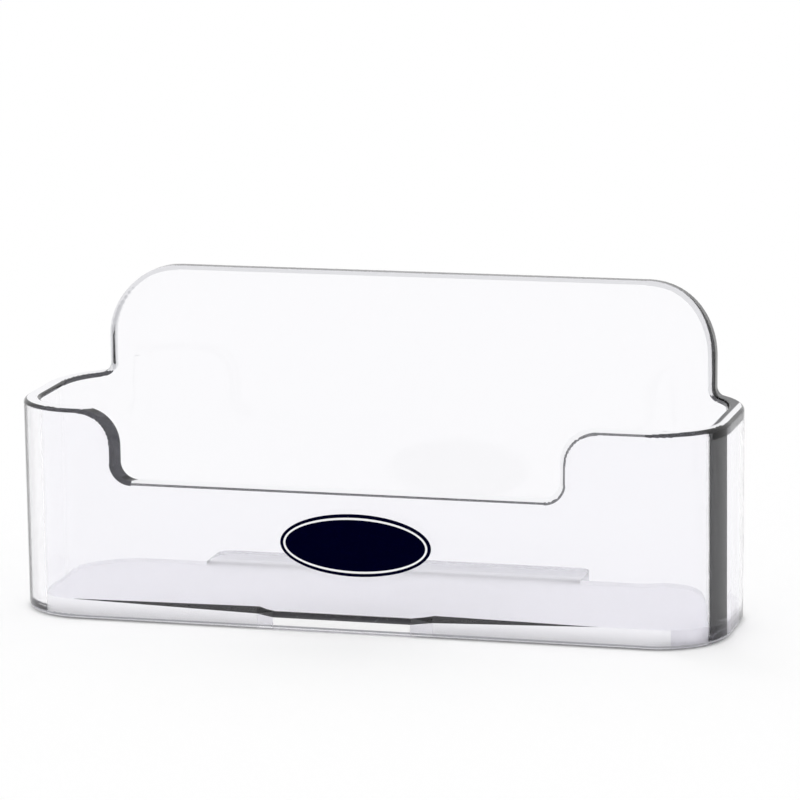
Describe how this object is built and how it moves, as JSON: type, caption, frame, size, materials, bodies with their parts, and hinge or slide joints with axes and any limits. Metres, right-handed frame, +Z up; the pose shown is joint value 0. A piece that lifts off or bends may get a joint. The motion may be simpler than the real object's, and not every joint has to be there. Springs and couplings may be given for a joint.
{
  "type": "business card holder stand",
  "caption": "Clear plastic desk holder for business cards: rounded pocket with a finger scoop in front, a tall back rest, a keyed floor plate with a rear heel, and a plain oval label.",
  "frame": {"origin": "on the desk, at the middle of the footprint that runs from the front face to the end of the rear heel", "axes": "+X to the right along the width, +Y from the front wall towards the back rest, +Z up"},
  "size_m": [0.098, 0.0347, 0.0441],
  "materials": {
    "clear_shell": "polished clear plastic",
    "clear_floor": "polished clear plastic",
    "label_vinyl": "satin printed vinyl",
    "label_ink": "printed line"
  },
  "bodies": {
    "root": {"pocket_shell": "clear_shell", "floor_plate": "clear_floor", "label_film": "label_vinyl", "label_border": "label_ink"}
  },
  "joints": []
}
